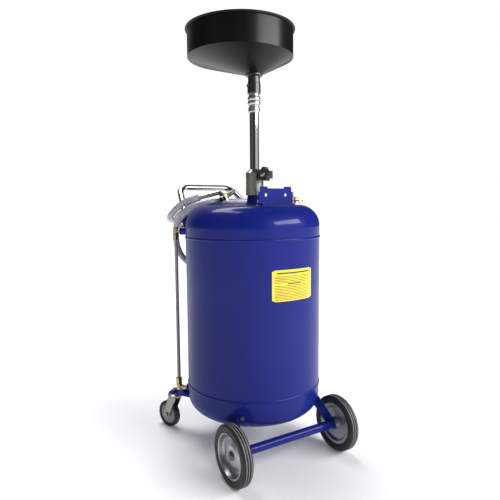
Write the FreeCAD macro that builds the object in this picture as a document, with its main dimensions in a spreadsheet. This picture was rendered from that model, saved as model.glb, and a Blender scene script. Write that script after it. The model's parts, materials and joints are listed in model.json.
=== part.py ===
"""Mobile waste-oil drainer: a wheeled pressure tank with a catch bowl on a telescoping mast.

Frame: +Z up, +X along the front axle, +Y towards the push handle, millimetres. The origin is on
the floor, below the middle of the object's outline; the tank's axis stands a little in front of
it, at y = tank_y. Helper at() turns places measured from the tank's axis into that frame.
"""

import FreeCAD, Part
import math
import os
import re

import Sketcher
from FreeCAD import Placement, Rotation, Vector

UP = Vector(0, 0, 1)
RIGHT = Vector(1, 0, 0)
BACK = Vector(0, 1, 0)

DIMENSIONS = {
    # tank
    "tank_y": -27.5,
    "tank_rad": 200.0,
    "tank_wall": 3.0,
    "seam_low": 202.0,
    "seam_high": 641.0,
    "top_tangent": 672.0,
    "top_knuckle": 62.0,
    "top_crown": 2500.0,
    "low_tangent": 168.0,
    "low_knuckle": 50.0,
    "low_crown": 900.0,
    "bead_width": 8.0,
    "bead_curve": 5.0,
    "weld_from": 725.0,
    "plug_turn": -131.0,
    "plug_height": 160.0,
    # mast, from the tank to the bowl
    "mast_y": -14.0,
    "mast_rad": 13.5,
    "mast_bore": 11.5,
    "mast_low": 300.0,
    "mast_top": 1066.0,
    "guide_rad": 17.0,
    "guide_bore": 15.0,
    "guide_low": 135.0,
    "guide_top": 790.0,
    "running_gap": 0.05,
    "collar_low": 763.0,
    "collar_top": 838.0,
    "collar_rad": 26.0,
    "collar_chamfer": 10.0,
    # clamp on the collar
    "ear_turn": -67.0,
    "ear_reach": 58.0,
    "ear_half": 9.0,
    "ear_low": 810.0,
    "ear_high": 832.0,
    "slit": 3.0,
    "slit_height": 40.0,
    "clamp_out": 47.0,
    "clamp_height": 822.0,
    "clamp_screw_rad": 4.0,
    "knob_core": 16.0,
    "knob_lobe": 6.5,
    "knob_lobe_out": 14.5,
    "knob_thick": 18.0,
    "knob_gap": 1.0,
    # coupling and outlet valve
    "coupling_low": 1002.0,
    "coupling_split": 1018.0,
    "coupling_top": 1056.0,
    "valve_top": 1092.5,
    "valve_rad": 19.3,
    "spigot_rad": 12.0,
    "neck_rad": 17.3,
    "neck_low": 1093.0,
    "neck_flange": 25.0,
    "neck_flange_low": 1105.0,
    "neck_bore": 9.0,
    "pin_height": 1077.0,
    "pin_rad": 2.5,
    # bowl
    "bowl_shift": -33.0,
    "bowl_shift_back": 20.7,
    "bowl_rad": 152.6,
    "bowl_wall": 2.0,
    "bowl_floor": 1110.0,
    "bowl_crease": 1156.0,
    "bowl_top": 1232.5,
    "bowl_outlet": 25.0,
    "rim_rad": 154.5,
    "rim_roll": 3.5,
    "strainer_rad": 58.0,
    "strainer_height": 1129.0,
    "strainer_thick": 1.5,
    "strainer_hole": 3.0,
    "strainer_pitch": 12.0,
    # plate and air fittings on the dome
    "plate_front": -125.0,
    "plate_thick": 4.0,
    "plate_half": 57.0,
    "plate_low": 725.0,
    "plate_top": 785.0,
    "plate_hole": 5.0,
    "plate_hole_out": 33.0,
    "plate_hole_height": 762.0,
    "tee_x": 103.0,
    "tee_y": -60.0,
    "tee_rad": 7.0,
    "tee_top": 758.0,
    "nipple_rad": 4.5,
    "nipple_top": 771.0,
    "relief_height": 750.0,
    "relief_rad": 6.5,
    "relief_stem": 1.5,
    "relief_pull": 22.0,
    "key_ring": 7.0,
    "key_wire": 0.9,
    # sight gauge
    "gauge_turn": 140.0,
    "gauge_out": 238.0,
    "gauge_rad": 5.5,
    "gauge_bore": 4.0,
    "gauge_low": 163.0,
    "gauge_high": 657.0,
    "gauge_arm": 6.5,
    "gauge_nut": 18.0,
    # handle
    "grip_y": 308.0,
    "grip_height": 794.0,
    "grip_half": 98.0,
    "leg_x": 143.0,
    "leg_y": 152.0,
    "leg_height": 672.0,
    "handle_rad": 10.0,
    "handle_bend": 38.0,
    "handle_wall": 1.5,
    "socket_rad": 14.0,
    "socket_long": 46.0,
    # hose
    "hose_rad": 10.0,
    "outlet_height": 525.0,
    "outlet_root": 187.0,
    "outlet_reach": 228.0,
    "outlet_nipple": 9.0,
    "outlet_knee": 12.0,
    "outlet_barb": 30.0,
    "dip_rad": 8.0,
    "dip_y": 170.0,
    "dip_low": 142.0,
    "spout_rad": 7.0,
    "sleeve_rad": 11.0,
    "sleeve_bore": 7.0,
    "sleeve_rib": 1.3,
    "sleeve_long": 58.0,
    "sleeve_pitch": 6.5,
    "coil_half": 160.0,
    "coil_inner_half": 137.0,
    "coil_front": 110.0,
    "coil_front_inner": 149.0,
    "coil_back_inner": 290.0,
    "coil_back": 312.0,
    "coil_top": 755.0,
    "coil_low": 735.0,
    "coil_top_slope": 0.22,
    "coil_low_slope": 0.62,
    "coil_room_low": 600.0,
    "coil_room": 200.0,
    # axle, struts and front wheels
    "axle_y": -181.0,
    "axle_height": 82.0,
    "axle_rad": 8.0,
    "beam_rad": 12.5,
    "beam_half": 160.0,
    "strut_thick": 6.0,
    "strut_x": 158.0,
    "hub_room": 24.0,
    "wheel_rad": 82.0,
    "wheel_half": 15.25,
    "wheel_mid": 179.35,
    "tyre_bore": 59.5,
    # casters
    "caster_x": 171.5,
    "caster_y": 212.0,
    "caster_trail": 30.0,
    "caster_rad": 43.0,
    "caster_half": 11.0,
    "caster_core": 31.0,
    "caster_axle": 4.0,
    "caster_plate_low": 122.0,
    "caster_plate": 5.0,
    "fork_plate": 2.5,
    "caster_turn_left": 20.0,
    "caster_turn_right": -20.0,
    "king_pin": 6.0,
}

doc = FreeCAD.newDocument("WasteOilDrainer")
sheet = doc.addObject("Spreadsheet::Sheet", "Dims")
for row, (alias, number) in enumerate(DIMENSIONS.items(), 1):
    sheet.set("A%d" % row, alias)
    sheet.set("B%d" % row, str(number))
    sheet.setAlias("B%d" % row, alias)
doc.recompute()

nodes = {}


def dim(text):
    """The number that an expression in the sheet's aliases comes to."""
    return float(sheet.evalExpression(str(text)))


def cells(text):
    """The same expression, as other objects of the document write it."""
    word = lambda found: "Dims." + found.group(0) if found.group(0) in DIMENSIONS else found.group(0)
    return re.sub(r"[a-z_]+", word, str(text))


def at(x=0, y=0, z=0):
    """A point measured from the tank's axis on the floor, in the part's frame."""
    return Vector(dim(x), dim(y) + dim("tank_y"), dim(z))


def bind(obj, **texts):
    for name, text in texts.items():
        obj.setExpression(name, cells(text))


def keep(label, obj):
    """Names one physical piece; it is written to its own file."""
    obj.Label = label
    nodes[label] = obj
    return obj


def aim(direction):
    return Rotation(UP, direction)


def origin_plane(body, role):
    return next(f for f in body.Origin.OriginFeatures if f.Role == role)


# ---------------------------------------------------------------- building blocks


def lock(sketch, geo, pos, x, y):
    """Holds one sketch point at the place two expressions give."""
    for kind, text, line in (("DistanceX", x, -2), ("DistanceY", y, -1)):
        if abs(dim(text)) < 1e-9:
            sketch.addConstraint(Sketcher.Constraint("PointOnObject", geo, pos, line))
        else:
            spot = sketch.addConstraint(Sketcher.Constraint(kind, -1, 1, geo, pos, dim(text)))
            sketch.setExpression("Constraints[%d]" % spot, cells(text))


def draw(sketch, outline):
    """A closed outline. An entry (x, y) starts a straight line to the next entry, and (x, y,
    radius, side) an arc, with side +1 where it runs anticlockwise and -1 where clockwise."""
    spots = [Vector(dim(e[0]), dim(e[1]), 0) for e in outline]
    ends = []
    for i, entry in enumerate(outline):
        a, b = spots[i], spots[(i + 1) % len(spots)]
        if len(entry) == 2:
            ends.append((sketch.addGeometry(Part.LineSegment(a, b), False), 1, 2))
            continue
        radius, side = dim(entry[2]), entry[3]
        across = b - a
        rise = math.sqrt(max(radius**2 - across.Length**2 / 4, 0))
        normal = Vector(-across.y, across.x, 0).normalize()
        centre = (a + b) * 0.5 + normal * rise * side
        angles = [math.atan2(p.y - centre.y, p.x - centre.x) for p in (a, b)]
        if side < 0:
            angles.reverse()
        if angles[1] < angles[0]:
            angles[1] += 2 * math.pi
        arc = Part.ArcOfCircle(Part.Circle(centre, UP, radius), *angles)
        geo = sketch.addGeometry(arc, False)
        ends.append((geo, 1, 2) if side > 0 else (geo, 2, 1))
        spot = sketch.addConstraint(Sketcher.Constraint("Radius", geo, radius))
        sketch.setExpression("Constraints[%d]" % spot, cells(entry[2]))
    for i, entry in enumerate(outline):
        geo, first, last = ends[i]
        after = ends[(i + 1) % len(ends)]
        sketch.addConstraint(Sketcher.Constraint("Coincident", geo, last, after[0], after[1]))
        lock(sketch, geo, first, entry[0], entry[1])


def body_sketch(name, plane):
    body = doc.addObject("PartDesign::Body", name)
    sketch = body.newObject("Sketcher::SketchObject", name + "_sketch")
    sketch.AttachmentSupport = [(origin_plane(body, plane), "")]
    sketch.MapMode = "FlatFace"
    return body, sketch


def turned(name, outline, place=Vector(), rotation=Rotation()):
    """A turned piece: the outline's x is the radius and its y the height along the axis."""
    body, sketch = body_sketch(name, "XZ_Plane")
    draw(sketch, outline)
    spin = body.newObject("PartDesign::Revolution", name + "_turn")
    spin.Profile = sketch
    spin.ReferenceAxis = (sketch, ["V_Axis"])
    spin.Angle = 360
    body.Placement = Placement(place, rotation)
    return body


def plate(name, outline, thick, place=Vector(), rotation=Rotation(), holes=()):
    """A flat piece cut to an outline, with round holes (x, y, radius)."""
    body, sketch = body_sketch(name, "XY_Plane")
    draw(sketch, outline)
    for x, y, radius in holes:
        circle = Part.Circle(Vector(dim(x), dim(y), 0), UP, dim(radius))
        geo = sketch.addGeometry(circle, False)
        spot = sketch.addConstraint(Sketcher.Constraint("Radius", geo, dim(radius)))
        sketch.setExpression("Constraints[%d]" % spot, cells(radius))
        lock(sketch, geo, 3, x, y)
    pad = body.newObject("PartDesign::Pad", name + "_pad")
    pad.Profile = sketch
    pad.setExpression("Length", cells(thick))
    body.Placement = Placement(place, rotation)
    return body


def rod(name, radius, length, place, rotation=Rotation()):
    piece = doc.addObject("Part::Cylinder", name)
    bind(piece, Radius=radius, Height=length)
    piece.Placement = Placement(place, rotation)
    return piece


def block(name, length, width, height, place, rotation=Rotation()):
    piece = doc.addObject("Part::Box", name)
    bind(piece, Length=length, Width=width, Height=height)
    piece.Placement = Placement(place, rotation)
    return piece


def hexagon(name, across, height, place, rotation=Rotation()):
    piece = doc.addObject("Part::Prism", name)
    piece.Polygon = 6
    bind(piece, Circumradius="(%s) / sqrt(3)" % across, Height=height)
    piece.Placement = Placement(place, rotation)
    return piece


def ring(name, radius, wire, place, rotation=Rotation()):
    piece = doc.addObject("Part::Torus", name)
    bind(piece, Radius1=radius, Radius2=wire)
    piece.Placement = Placement(place, rotation)
    return piece


def cut(name, base, *tools):
    for i, tool in enumerate(tools):
        step = doc.addObject("Part::Cut", "%s_cut%d" % (name, i))
        step.Base = base
        step.Tool = tool
        base = step
    return base


def fuse(name, *pieces):
    joined = doc.addObject("Part::MultiFuse", name)
    joined.Shapes = list(pieces)
    return joined


def group(name, *pieces):
    """Separate solids that share one node, such as a pair of nuts."""
    together = doc.addObject("Part::Compound", name)
    together.Links = list(pieces)
    return together


def tube(name, radius, bore, length, place, rotation=Rotation()):
    outside = rod(name + "_outside", radius, length, place, rotation)
    return cut(name, outside, rod(name + "_bore", bore, length, place, rotation))


def bent_path(points, radii):
    """Straight runs joined by tangent arcs, one arc at each inner point."""
    edges = []
    start = points[0]
    for i in range(1, len(points) - 1):
        before = (points[i - 1] - points[i]).normalize()
        after = (points[i + 1] - points[i]).normalize()
        half = math.acos(max(-1, min(1, -before.dot(after)))) / 2
        radius = radii[i - 1]
        back = radius * math.tan(half)
        first = points[i] + before * back
        last = points[i] + after * back
        to_centre = (before + after).normalize()
        middle = points[i] + to_centre * (radius / math.cos(half) - radius)
        edges.append(Part.LineSegment(start, first).toShape())
        edges.append(Part.Arc(first, middle, last).toShape())
        start = last
    edges.append(Part.LineSegment(start, points[-1]).toShape())
    return Part.Wire(edges)


def swept(name, path, radius):
    """A round bar along a path. It is built in the tank's axes, then placed."""
    start = path.Edges[0].Vertexes[0].Point
    heading = path.Edges[0].tangentAt(path.Edges[0].FirstParameter)
    section = Part.Wire([Part.makeCircle(radius, start, heading)])
    piece = doc.addObject("Part::Feature", name)
    piece.Shape = path.makePipeShell([section], True, False)
    piece.Placement = Placement(at(), Rotation())
    return piece


# ---------------------------------------------------------------- tank


def dome_centre(end, sign):
    """Height of the crown's centre. The knuckle's centre is on the tangent line."""
    reach = "sqrt(({0}_crown - {0}_knuckle)^2 - (tank_rad - {0}_knuckle)^2)".format(end)
    return "({0}_tangent {1} {2})".format(end, "-" if sign > 0 else "+", reach)


def dome(end, sign, inset="0"):
    """The knuckle's and the crown's meeting point and the crown's top, inset from the outside."""
    share = "(({0}_crown - {1}) / ({0}_crown - {0}_knuckle))".format(end, inset)
    centre = dome_centre(end, sign)
    edge = (
        "(tank_rad - %s_knuckle) * %s" % (end, share),
        "%s + (%s_tangent - %s) * %s" % (centre, end, centre, share),
    )
    top = "%s %s (%s_crown - %s)" % (centre, "+" if sign > 0 else "-", end, inset)
    return edge, top


def tank_form(name):
    """The tank's outside as one solid, which trims what is welded to it."""
    low_edge, low_top = dome("low", -1)
    high_edge, high_top = dome("top", 1)
    outline = [
        ("0", low_top, "low_crown", 1),
        (*low_edge, "low_knuckle", 1),
        ("tank_rad", "low_tangent"),
        ("tank_rad", "top_tangent", "top_knuckle", 1),
        (*high_edge, "top_crown", 1),
        ("0", high_top),
    ]
    return turned(name, outline, at())


def tank_head(name, end, sign, seam):
    edge, top = dome(end, sign)
    inner_edge, inner_top = dome(end, sign, "tank_wall")
    inside = "tank_rad - tank_wall"
    outline = [
        ("tank_rad", seam),
        ("tank_rad", end + "_tangent", end + "_knuckle", sign),
        (*edge, end + "_crown", sign),
        ("0", top),
        ("0", inner_top, "%s_crown - tank_wall" % end, -sign),
        (*inner_edge, "%s_knuckle - tank_wall" % end, -sign),
        (inside, end + "_tangent"),
        (inside, seam),
    ]
    return turned(name, outline, at())


def tank():
    inside = "tank_rad - tank_wall"
    shell = [
        (inside, "seam_low"),
        ("tank_rad", "seam_low"),
        ("tank_rad", "seam_high"),
        (inside, "seam_high"),
    ]
    keep("tank_shell", turned("shell", shell, at()))
    mast_hole = rod("mast_hole", "guide_rad + 0.5", "200", at("0", "mast_y", "seam_high"))
    head = tank_head("top_head", "top", 1, "seam_high")
    keep("tank_top_head", cut("top_head_hole", head, mast_hole))
    keep("tank_bottom_head", tank_head("low_head", "low", -1, "seam_low"))
    beads = []
    for name in ("seam_low", "seam_high"):
        bead = [
            ("tank_rad", name + " - bead_width / 2", "bead_curve", 1),
            ("tank_rad", name + " + bead_width / 2"),
        ]
        beads.append(turned(name + "_bead", bead, at()))
    keep("seam_welds", group("seam_beads", *beads))
    outward = Rotation(UP, dim("plug_turn")).multVec(RIGHT)
    spot = at("0", "0", "plug_height") + outward * dim("tank_rad - 5")
    thread = rod("plug_thread", "4", "6", spot, aim(outward))
    head = hexagon("plug_hex", "11", "4", spot + outward * 6, aim(outward))
    keep("drain_plug", cut("plug", fuse("plug_solid", thread, head), form))


# ---------------------------------------------------------------- mast and clamp


def mast_base():
    socket = [
        ("guide_rad + 0.5", "weld_from"),
        ("28", "weld_from"),
        ("26", "738"),
        ("22.8", "750"),
        ("21.5", "collar_low"),
        ("guide_rad + 0.5", "collar_low"),
    ]
    body = turned("socket", socket, at("0", "mast_y"))
    keep("mast_socket", cut("socket_trim", body, form))
    guide = tube(
        "guide", "guide_rad", "guide_bore", "guide_top - guide_low", at("0", "mast_y", "guide_low")
    )
    keep("mast_guide_tube", guide)
    close = "mast_rad + running_gap"
    collar = [
        ("guide_rad", "collar_low"),
        ("collar_rad", "collar_low"),
        ("collar_rad", "collar_top - collar_chamfer"),
        ("collar_rad - collar_chamfer", "collar_top"),
        (close, "collar_top"),
        (close, "guide_top"),
        ("guide_rad", "guide_top"),
    ]
    spin = Rotation(UP, dim("ear_turn"))
    centre = at("0", "mast_y")
    ring_part = turned("collar", collar, centre)
    ear_from = dim("collar_rad") - 6
    ears = block(
        "ears",
        "ear_reach - collar_rad + 6",
        "2 * ear_half",
        "ear_high - ear_low",
        centre + spin.multVec(Vector(ear_from, -dim("ear_half"), dim("ear_low"))),
        spin,
    )
    slit_low = dim("ear_low") - 8
    slit = block(
        "slit_space",
        "ear_reach",
        "slit",
        "slit_height",
        centre + spin.multVec(Vector(dim(close) - 2, -dim("slit") / 2, slit_low)),
        spin,
    )
    across = spin.multVec(BACK)
    hole_from = centre + spin.multVec(
        Vector(dim("clamp_out"), -dim("ear_half") - 5, dim("clamp_height"))
    )
    hole = rod("clamp_hole", "clamp_screw_rad + running_gap", "40", hole_from, aim(across))
    keep("mast_collar", cut("collar_cuts", fuse("collar_solid", ring_part, ears), slit, hole))


def clamp():
    """The clamp screw runs across the two ears; its knob faces left and a little forward."""
    spin = Rotation(UP, dim("ear_turn"))
    centre = at("0", "mast_y")
    out, half, high = dim("clamp_out"), dim("ear_half"), dim("clamp_height")
    facing = spin.multVec(Vector(0, -1, 0))
    knob_near = centre + spin.multVec(Vector(out, -half - dim("knob_gap"), high))
    screw_end = centre + spin.multVec(Vector(out, half + 1, high))
    shank = rod(
        "screw_shank", "clamp_screw_rad", "2 * ear_half + 2 + knob_thick", screw_end, aim(facing)
    )
    head = hexagon("screw_hex", "13", "5", screw_end, aim(facing * -1))
    knob_far = knob_near + facing * dim("knob_thick")
    cap = turned(
        "screw_cap", [("0", "0"), ("8", "0"), ("7", "2.5"), ("0", "3.5")], knob_far, aim(facing)
    )
    keep("clamp_screw", fuse("screw_solid", shank, head, cap))
    lobes = [rod("knob_core", "knob_core", "knob_thick", knob_near, aim(facing))]
    upright = aim(facing)
    for i in range(5):
        angle = 2 * math.pi * i / 5 + 0.3
        away = upright.multVec(Vector(math.cos(angle), math.sin(angle), 0)) * dim("knob_lobe_out")
        lobes.append(rod("knob_lobe%d" % i, "knob_lobe", "knob_thick", knob_near + away, upright))
    bore = rod("knob_bore", "clamp_screw_rad", "knob_thick", knob_near, upright)
    keep("clamp_knob", cut("knob", fuse("knob_solid", *lobes), bore))


def mast():
    place = at("0", "mast_y")
    inner = tube(
        "mast", "mast_rad", "mast_bore", "mast_top - mast_low", at("0", "mast_y", "mast_low")
    )
    keep("mast_tube", inner)
    nut = [
        ("mast_rad", "coupling_low"),
        ("mast_rad + 2", "coupling_low"),
        ("17", "coupling_low + 3"),
        ("17", "coupling_low + 13"),
        ("15", "coupling_split"),
        ("mast_rad", "coupling_split"),
    ]
    keep("coupling_nut", turned("nut", nut, place))
    sleeve = [
        ("mast_rad", "coupling_split"),
        ("14.8", "coupling_split"),
        ("14.8", "coupling_split + 4"),
        ("17", "coupling_split + 5.5", "11", 1),
        ("17", "coupling_split + 17.5", "11", 1),
        ("17", "coupling_split + 29.5"),
        ("15.5", "coupling_split + 31"),
        ("15.5", "coupling_top"),
        ("mast_rad", "coupling_top"),
    ]
    keep("coupling_sleeve", turned("sleeve", sleeve, place))
    valve = [
        ("mast_rad", "coupling_top"),
        ("valve_rad", "coupling_top"),
        ("valve_rad", "valve_top - 9"),
        ("valve_rad - 1.5", "valve_top - 7.5"),
        ("valve_rad - 1.5", "valve_top"),
        ("spigot_rad", "valve_top"),
        ("spigot_rad", "mast_top"),
        ("mast_rad", "mast_top"),
    ]
    hole = rod(
        "pin_hole", "pin_rad + running_gap", "30", at("-40", "mast_y", "pin_height"), aim(RIGHT)
    )
    keep("valve_body", cut("valve", turned("valve_solid", valve, place), hole))
    left = RIGHT * -1
    stem = rod("pin_stem", "pin_rad", "5", at("-16", "mast_y", "pin_height"), aim(left))
    grip = turned(
        "pin_grip",
        [("0", "0"), ("4", "0"), ("4", "3.2"), ("3.2", "4"), ("0", "4")],
        at("-valve_rad - 0.3", "mast_y", "pin_height"),
        aim(left),
    )
    slot = block("pin_slot", "2", "10", "1.2", at("-valve_rad - 5", "mast_y - 5", "pin_height - 0.6"))
    keep("valve_pin", cut("pin", fuse("pin_solid", stem, grip), slot))


# ---------------------------------------------------------------- bowl


def circle_at(name, radius, place):
    piece = doc.addObject("Part::Circle", name)
    bind(piece, Radius=radius)
    piece.Placement = Placement(place, Rotation())
    return piece


def bowl_form(name, inset, floor, top):
    """A straight wall on a slanted funnel that leads to the outlet on the mast's axis."""
    shift = ("bowl_shift", "mast_y + bowl_shift_back")
    wide = circle_at(name + "_wide", "bowl_rad - " + inset, at(*shift, "bowl_crease"))
    small = circle_at(name + "_small", "bowl_outlet - " + inset, at("0", "mast_y", floor))
    funnel = doc.addObject("Part::Loft", name + "_funnel")
    funnel.Sections = [small, wide]
    funnel.Solid = True
    funnel.Ruled = True
    wall = rod(name + "_wall", "bowl_rad - " + inset, top + " - bowl_crease", at(*shift, "bowl_crease"))
    return fuse(name, funnel, wall)


def bowl():
    neck = [
        ("neck_bore", "mast_top + 4"),
        ("spigot_rad - running_gap", "mast_top + 4"),
        ("spigot_rad - running_gap", "neck_low"),
        ("neck_rad", "neck_low"),
        ("neck_rad", "neck_flange_low"),
        ("neck_flange - 2", "neck_flange_low"),
        ("neck_flange", "neck_flange_low + 2"),
        ("neck_flange", "bowl_floor"),
        ("spigot_rad", "bowl_floor"),
        ("spigot_rad", "bowl_floor + 9"),
        ("neck_bore", "bowl_floor + 9"),
    ]
    keep("bowl_neck", turned("neck", neck, at("0", "mast_y")))
    outside = bowl_form("bowl_outside", "0", "bowl_floor", "bowl_top")
    inside = bowl_form("bowl_inside", "bowl_wall", "bowl_floor + bowl_wall", "bowl_top + 10")
    hole = rod("bowl_hole", "spigot_rad", "20", at("0", "mast_y", "bowl_floor - 5"))
    rim_spot = at("bowl_shift", "mast_y + bowl_shift_back", "bowl_top")
    roll = ring("bowl_roll", "rim_rad", "rim_roll", rim_spot)
    keep("bowl", fuse("bowl_solid", cut("bowl_hollow", outside, inside, hole), roll))
    nut = hexagon("lock_hex", "34", "5", at("0", "mast_y", "bowl_floor + bowl_wall"))
    thread = rod("lock_bore", "spigot_rad", "5", at("0", "mast_y", "bowl_floor + bowl_wall"))
    keep("bowl_lock_nut", cut("lock_nut", nut, thread))
    share = (dim("strainer_height") - dim("bowl_floor")) / dim("bowl_crease - bowl_floor")
    middle = at("0", "mast_y", "strainer_height") + Vector(
        dim("bowl_shift") * share, dim("bowl_shift_back") * share, 0
    )
    disc = rod("strainer_disc", "strainer_rad", "strainer_thick", middle)
    holes = [rod("strainer_hole", "strainer_hole", "strainer_thick", middle)]
    for ring_no in range(1, 5):
        for i in range(6 * ring_no):
            angle = 2 * math.pi * i / (6 * ring_no)
            away = Vector(math.cos(angle), math.sin(angle), 0) * dim("strainer_pitch") * ring_no
            name = "strainer_hole%d_%d" % (ring_no, i)
            holes.append(rod(name, "strainer_hole", "strainer_thick", middle + away))
    keep("bowl_strainer", cut("strainer", disc, group("strainer_holes", *holes)))


# ---------------------------------------------------------------- fittings on the dome


def accessory_plate():
    half = "plate_half"
    outline = [
        ("-" + half, "plate_low"),
        (half, "plate_low"),
        (half, "plate_top - 16"),
        (half + " - 5", "plate_top - 13"),
        (half + " - 6", "plate_top"),
        ("30", "plate_top"),
        ("28", "plate_top - 5"),
        ("-28", "plate_top - 5"),
        ("-30", "plate_top"),
        ("6 - " + half, "plate_top"),
        ("5 - " + half, "plate_top - 13"),
        ("-" + half, "plate_top - 16"),
    ]
    holes = [
        (sign + "plate_hole_out", "plate_hole_height", "plate_hole") for sign in ("-", "")
    ]
    upright = Rotation(RIGHT, 90)
    sheet_metal = plate(
        "accessory", outline, "plate_thick", at("0", "plate_front + plate_thick"), upright, holes
    )
    foot = block(
        "accessory_foot",
        "2 * plate_half - 8",
        "12",
        "13",
        at("4 - plate_half", "plate_front - 12", "weld_from"),
    )
    keep("accessory_plate", cut("accessory_trim", fuse("accessory_solid", sheet_metal, foot), form))


def air_fittings():
    spot = ("tee_x", "tee_y")
    tee = rod("tee_solid", "tee_rad", "tee_top - weld_from", at(*spot, "weld_from"))
    keep("air_tee", cut("tee", tee, form))
    nipple = [
        ("0", "tee_top"),
        ("nipple_rad + 1.5", "tee_top"),
        ("nipple_rad + 1.5", "tee_top + 2.5"),
        ("nipple_rad - 1.2", "tee_top + 3.5"),
        ("nipple_rad - 1.2", "tee_top + 6"),
        ("nipple_rad", "tee_top + 7.5"),
        ("nipple_rad", "nipple_top - 1"),
        ("nipple_rad - 1", "nipple_top"),
        ("0", "nipple_top"),
    ]
    keep("air_nipple", turned("nipple", nipple, at(*spot)))
    face = dim("tee_rad")
    root = at(*spot, "relief_height") + RIGHT * (face - 0.5)
    housing = [
        ("relief_stem + running_gap", "0"),
        ("4", "0"),
        ("4", "3"),
        ("relief_rad", "3"),
        ("relief_rad", "9"),
        ("5", "10"),
        ("5", "18"),
        ("relief_stem + running_gap", "18"),
    ]
    tee_body = rod("tee_clear", "tee_rad", "tee_top - weld_from", at(*spot, "weld_from"))
    keep("relief_valve", cut("relief", turned("relief_solid", housing, root, aim(RIGHT)), tee_body))
    stem = rod("relief_stem_rod", "relief_stem", "relief_pull", root + RIGHT * 4, aim(RIGHT))
    eye = root + RIGHT * dim("relief_pull + 3 + key_wire") - UP * dim("key_ring - key_wire")
    hoop = ring("key_hoop", "key_ring", "key_wire", eye, aim(BACK))
    keep("relief_ring", fuse("relief_pull", stem, hoop))
    loop_spot = at("tee_x - 6", "tee_y - 16", "741")
    loop = ring("eye_loop", "6", "2", loop_spot, aim(BACK))
    stub = rod("eye_stub", "2.5", "12", loop_spot - UP * 18, Rotation())
    keep("eye_lug", cut("eye", fuse("eye_solid", loop, stub), form))


# ---------------------------------------------------------------- sight gauge


def sight_gauge():
    outward = Rotation(UP, dim("gauge_turn")).multVec(RIGHT)
    foot = at() + outward * dim("gauge_out")
    inward = aim(outward * -1)
    low, high = dim("gauge_low"), dim("gauge_high")
    pipe_from = foot + UP * (low + 13)
    keep("sight_tube", tube("gauge", "gauge_rad", "gauge_bore", "gauge_high - gauge_low - 20", pipe_from))
    nuts = []
    for name, height in (("nut_low", low + 11), ("nut_high", high - 27)):
        solid = hexagon(name, "gauge_nut", "gauge_nut", foot + UP * height)
        bore = rod(name + "_bore", "gauge_rad", "gauge_nut", foot + UP * height)
        nuts.append(cut(name + "_ring", solid, bore))
    keep("sight_nuts", group("gauge_nuts", *nuts))
    for name, height, lower, upper, seat in (("low", low, -10, 11, 5), ("high", high, -9, 11, -14)):
        outline = [
            ("0", str(lower)),
            ("7", str(lower)),
            ("8.5", str(lower + 2)),
            ("8.5", str(upper - 2)),
            ("7", str(upper)),
            ("0", str(upper)),
        ]
        upright = turned("elbow_" + name, outline, foot + UP * height)
        arm = rod("elbow_arm_" + name, "gauge_arm", "gauge_out - tank_rad + 12", foot + UP * height, inward)
        solid = fuse("elbow_solid_" + name, upright, arm)
        pipe_space = rod("elbow_seat_" + name, "gauge_rad", "12", foot + UP * (height + seat))
        keep("sight_elbow_" + name, cut("elbow_trim_" + name, solid, form, pipe_space))
    bosses = []
    for name, height, radius, reach in (("boss_low", low, "10", 212), ("boss_high", high, "12.5", 224)):
        start = at() + outward * reach + UP * height
        solid = rod(name, radius, "%g" % (reach - 175), start, inward)
        arm = rod(name + "_bore", "gauge_arm", "%g" % (reach - 175), start, inward)
        bosses.append(cut(name + "_trim", solid, form, arm))
    keep("sight_bosses", group("gauge_bosses", *bosses))


# ---------------------------------------------------------------- handle


def handle():
    legs = [Vector(side * dim("leg_x"), dim("leg_y"), dim("leg_height")) for side in (-1, 1)]
    corners = [Vector(side * dim("grip_half"), dim("grip_y"), dim("grip_height")) for side in (-1, 1)]
    rise = [(corners[i] - legs[i]).normalize() for i in range(2)]
    ends = [legs[i] + rise[i] * 6 for i in range(2)]
    path = bent_path([ends[0], corners[0], corners[1], ends[1]], [dim("handle_bend")] * 2)
    radius = dim("handle_rad")
    outside = swept("handle_outside", path, radius)
    inside = swept("handle_inside", path, radius - dim("handle_wall"))
    keep("handle", cut("handle_tube", outside, inside))
    rooms = [swept("handle_space", path, radius + 1)]
    for i, side in enumerate(("left", "right")):
        start = at() + legs[i] + rise[i] * -12
        sleeve = rod("socket_" + side, "socket_rad", "socket_long + 12", start, aim(rise[i]))
        bore_from = at() + ends[i]
        seat = rod("seat_" + side, "handle_rad", "socket_long + 12", bore_from, aim(rise[i]))
        keep("handle_socket_" + side, cut("socket_cut_" + side, sleeve, form, seat))
        space = rod("socket_space_" + side, "socket_rad + 1", "socket_long + 14", start, aim(rise[i]))
        rooms.append(space)
    return rooms


# ---------------------------------------------------------------- discharge hose


TAIL_ROUTE = [
    Vector(-30, 228, 525),
    Vector(-62, 229, 526),
    Vector(-100, 231, 539),
    Vector(-132, 232, 570),
    Vector(-146, 231, 603),
    Vector(-151, 224, 630),
    Vector(-156, 212, 652),
    Vector(-159, 192, 695),
]


def arc_radii(route):
    """Each arc as large as its two runs allow: 0.45 of the shorter, over half the turn."""
    radii = []
    for i in range(1, len(route) - 1):
        before, after = route[i] - route[i - 1], route[i + 1] - route[i]
        half = before.getAngle(after) / 2
        radii.append(0.45 * min(before.Length, after.Length) / math.tan(half))
    return radii


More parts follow.
